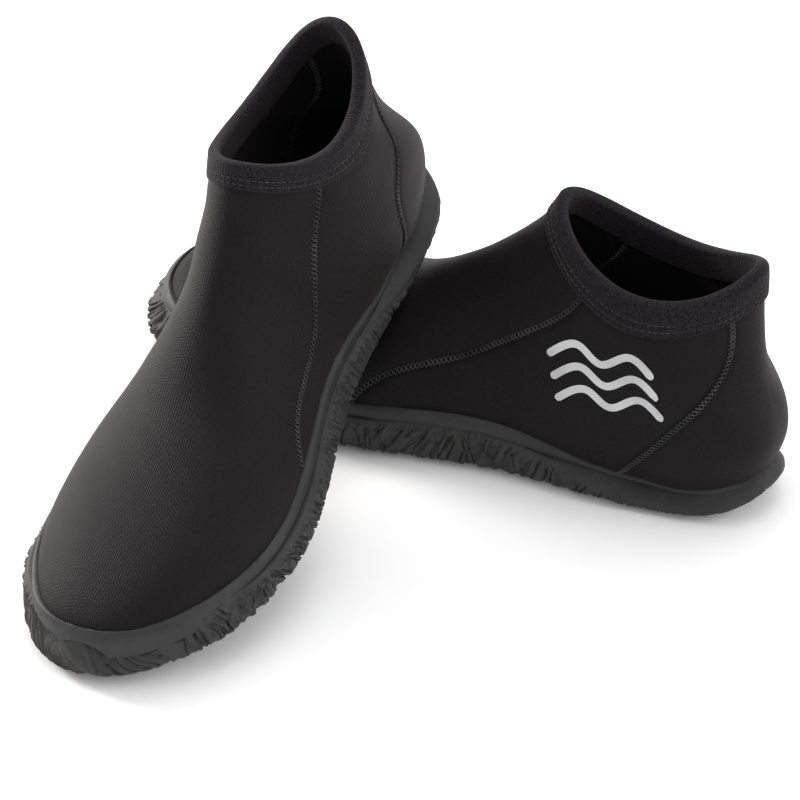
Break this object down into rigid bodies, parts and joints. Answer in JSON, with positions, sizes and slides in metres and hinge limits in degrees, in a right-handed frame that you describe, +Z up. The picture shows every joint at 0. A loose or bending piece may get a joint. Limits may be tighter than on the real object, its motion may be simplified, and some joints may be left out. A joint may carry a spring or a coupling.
{
  "type": "neoprene water-sports boots",
  "caption": "Pair of low-cut black neoprene boots with knit collar bindings and ridged grey rubber soles, one leaning on the other.",
  "frame": {"origin": "on the underside of the left boot's sole, under its middle, 115.5 mm in front of the back of the heel", "axes": "+Z up from the floor; +X from the left boot's heel to its toe; +Y towards the left boot's outer side, which is also the way the right boot's toe points"},
  "size_m": [0.2898, 0.2914, 0.1826],
  "materials": {
    "neoprene": "black knit-faced neoprene, soft sheen",
    "binding": "charcoal ribbed stretch knit",
    "rand_rubber": "smooth matte dark grey rubber",
    "sole_rubber": "matte dark grey rubber with a bark-like side wall",
    "board": "dark lining cloth",
    "insole_foam": "dark cloth-faced foam",
    "thread": "dark grey polyester thread",
    "print": "pale grey screen print"
  },
  "bodies": {
    "left_boot": {"left_vamp_panel": "neoprene", "left_heel_panel": "neoprene", "left_outer_quarter": "neoprene", "left_inner_quarter": "neoprene", "left_collar_binding": "binding", "left_rand": "rand_rubber", "left_outsole": "sole_rubber", "left_bottom_panel": "board", "left_insole": "insole_foam", "left_outer_vamp_seam": "thread", "left_inner_vamp_seam": "thread", "left_outer_heel_seam": "thread", "left_inner_heel_seam": "thread", "left_collar_stitch_1": "thread", "left_collar_stitch_2": "thread", "left_printed_waves": "print"},
    "right_boot": {"right_vamp_panel": "neoprene", "right_heel_panel": "neoprene", "right_outer_quarter": "neoprene", "right_inner_quarter": "neoprene", "right_collar_binding": "binding", "right_rand": "rand_rubber", "right_outsole": "sole_rubber", "right_bottom_panel": "board", "right_insole": "insole_foam", "right_outer_vamp_seam": "thread", "right_inner_vamp_seam": "thread", "right_outer_heel_seam": "thread", "right_inner_heel_seam": "thread", "right_collar_stitch_1": "thread", "right_collar_stitch_2": "thread", "right_printed_waves": "print"}
  },
  "joints": [
    {"name": "right_boot_lift", "type": "slide", "parent": "left_boot", "child": "right_boot", "axis": [0, 0, 1], "range_m": [0, 0.15]}
  ]
}
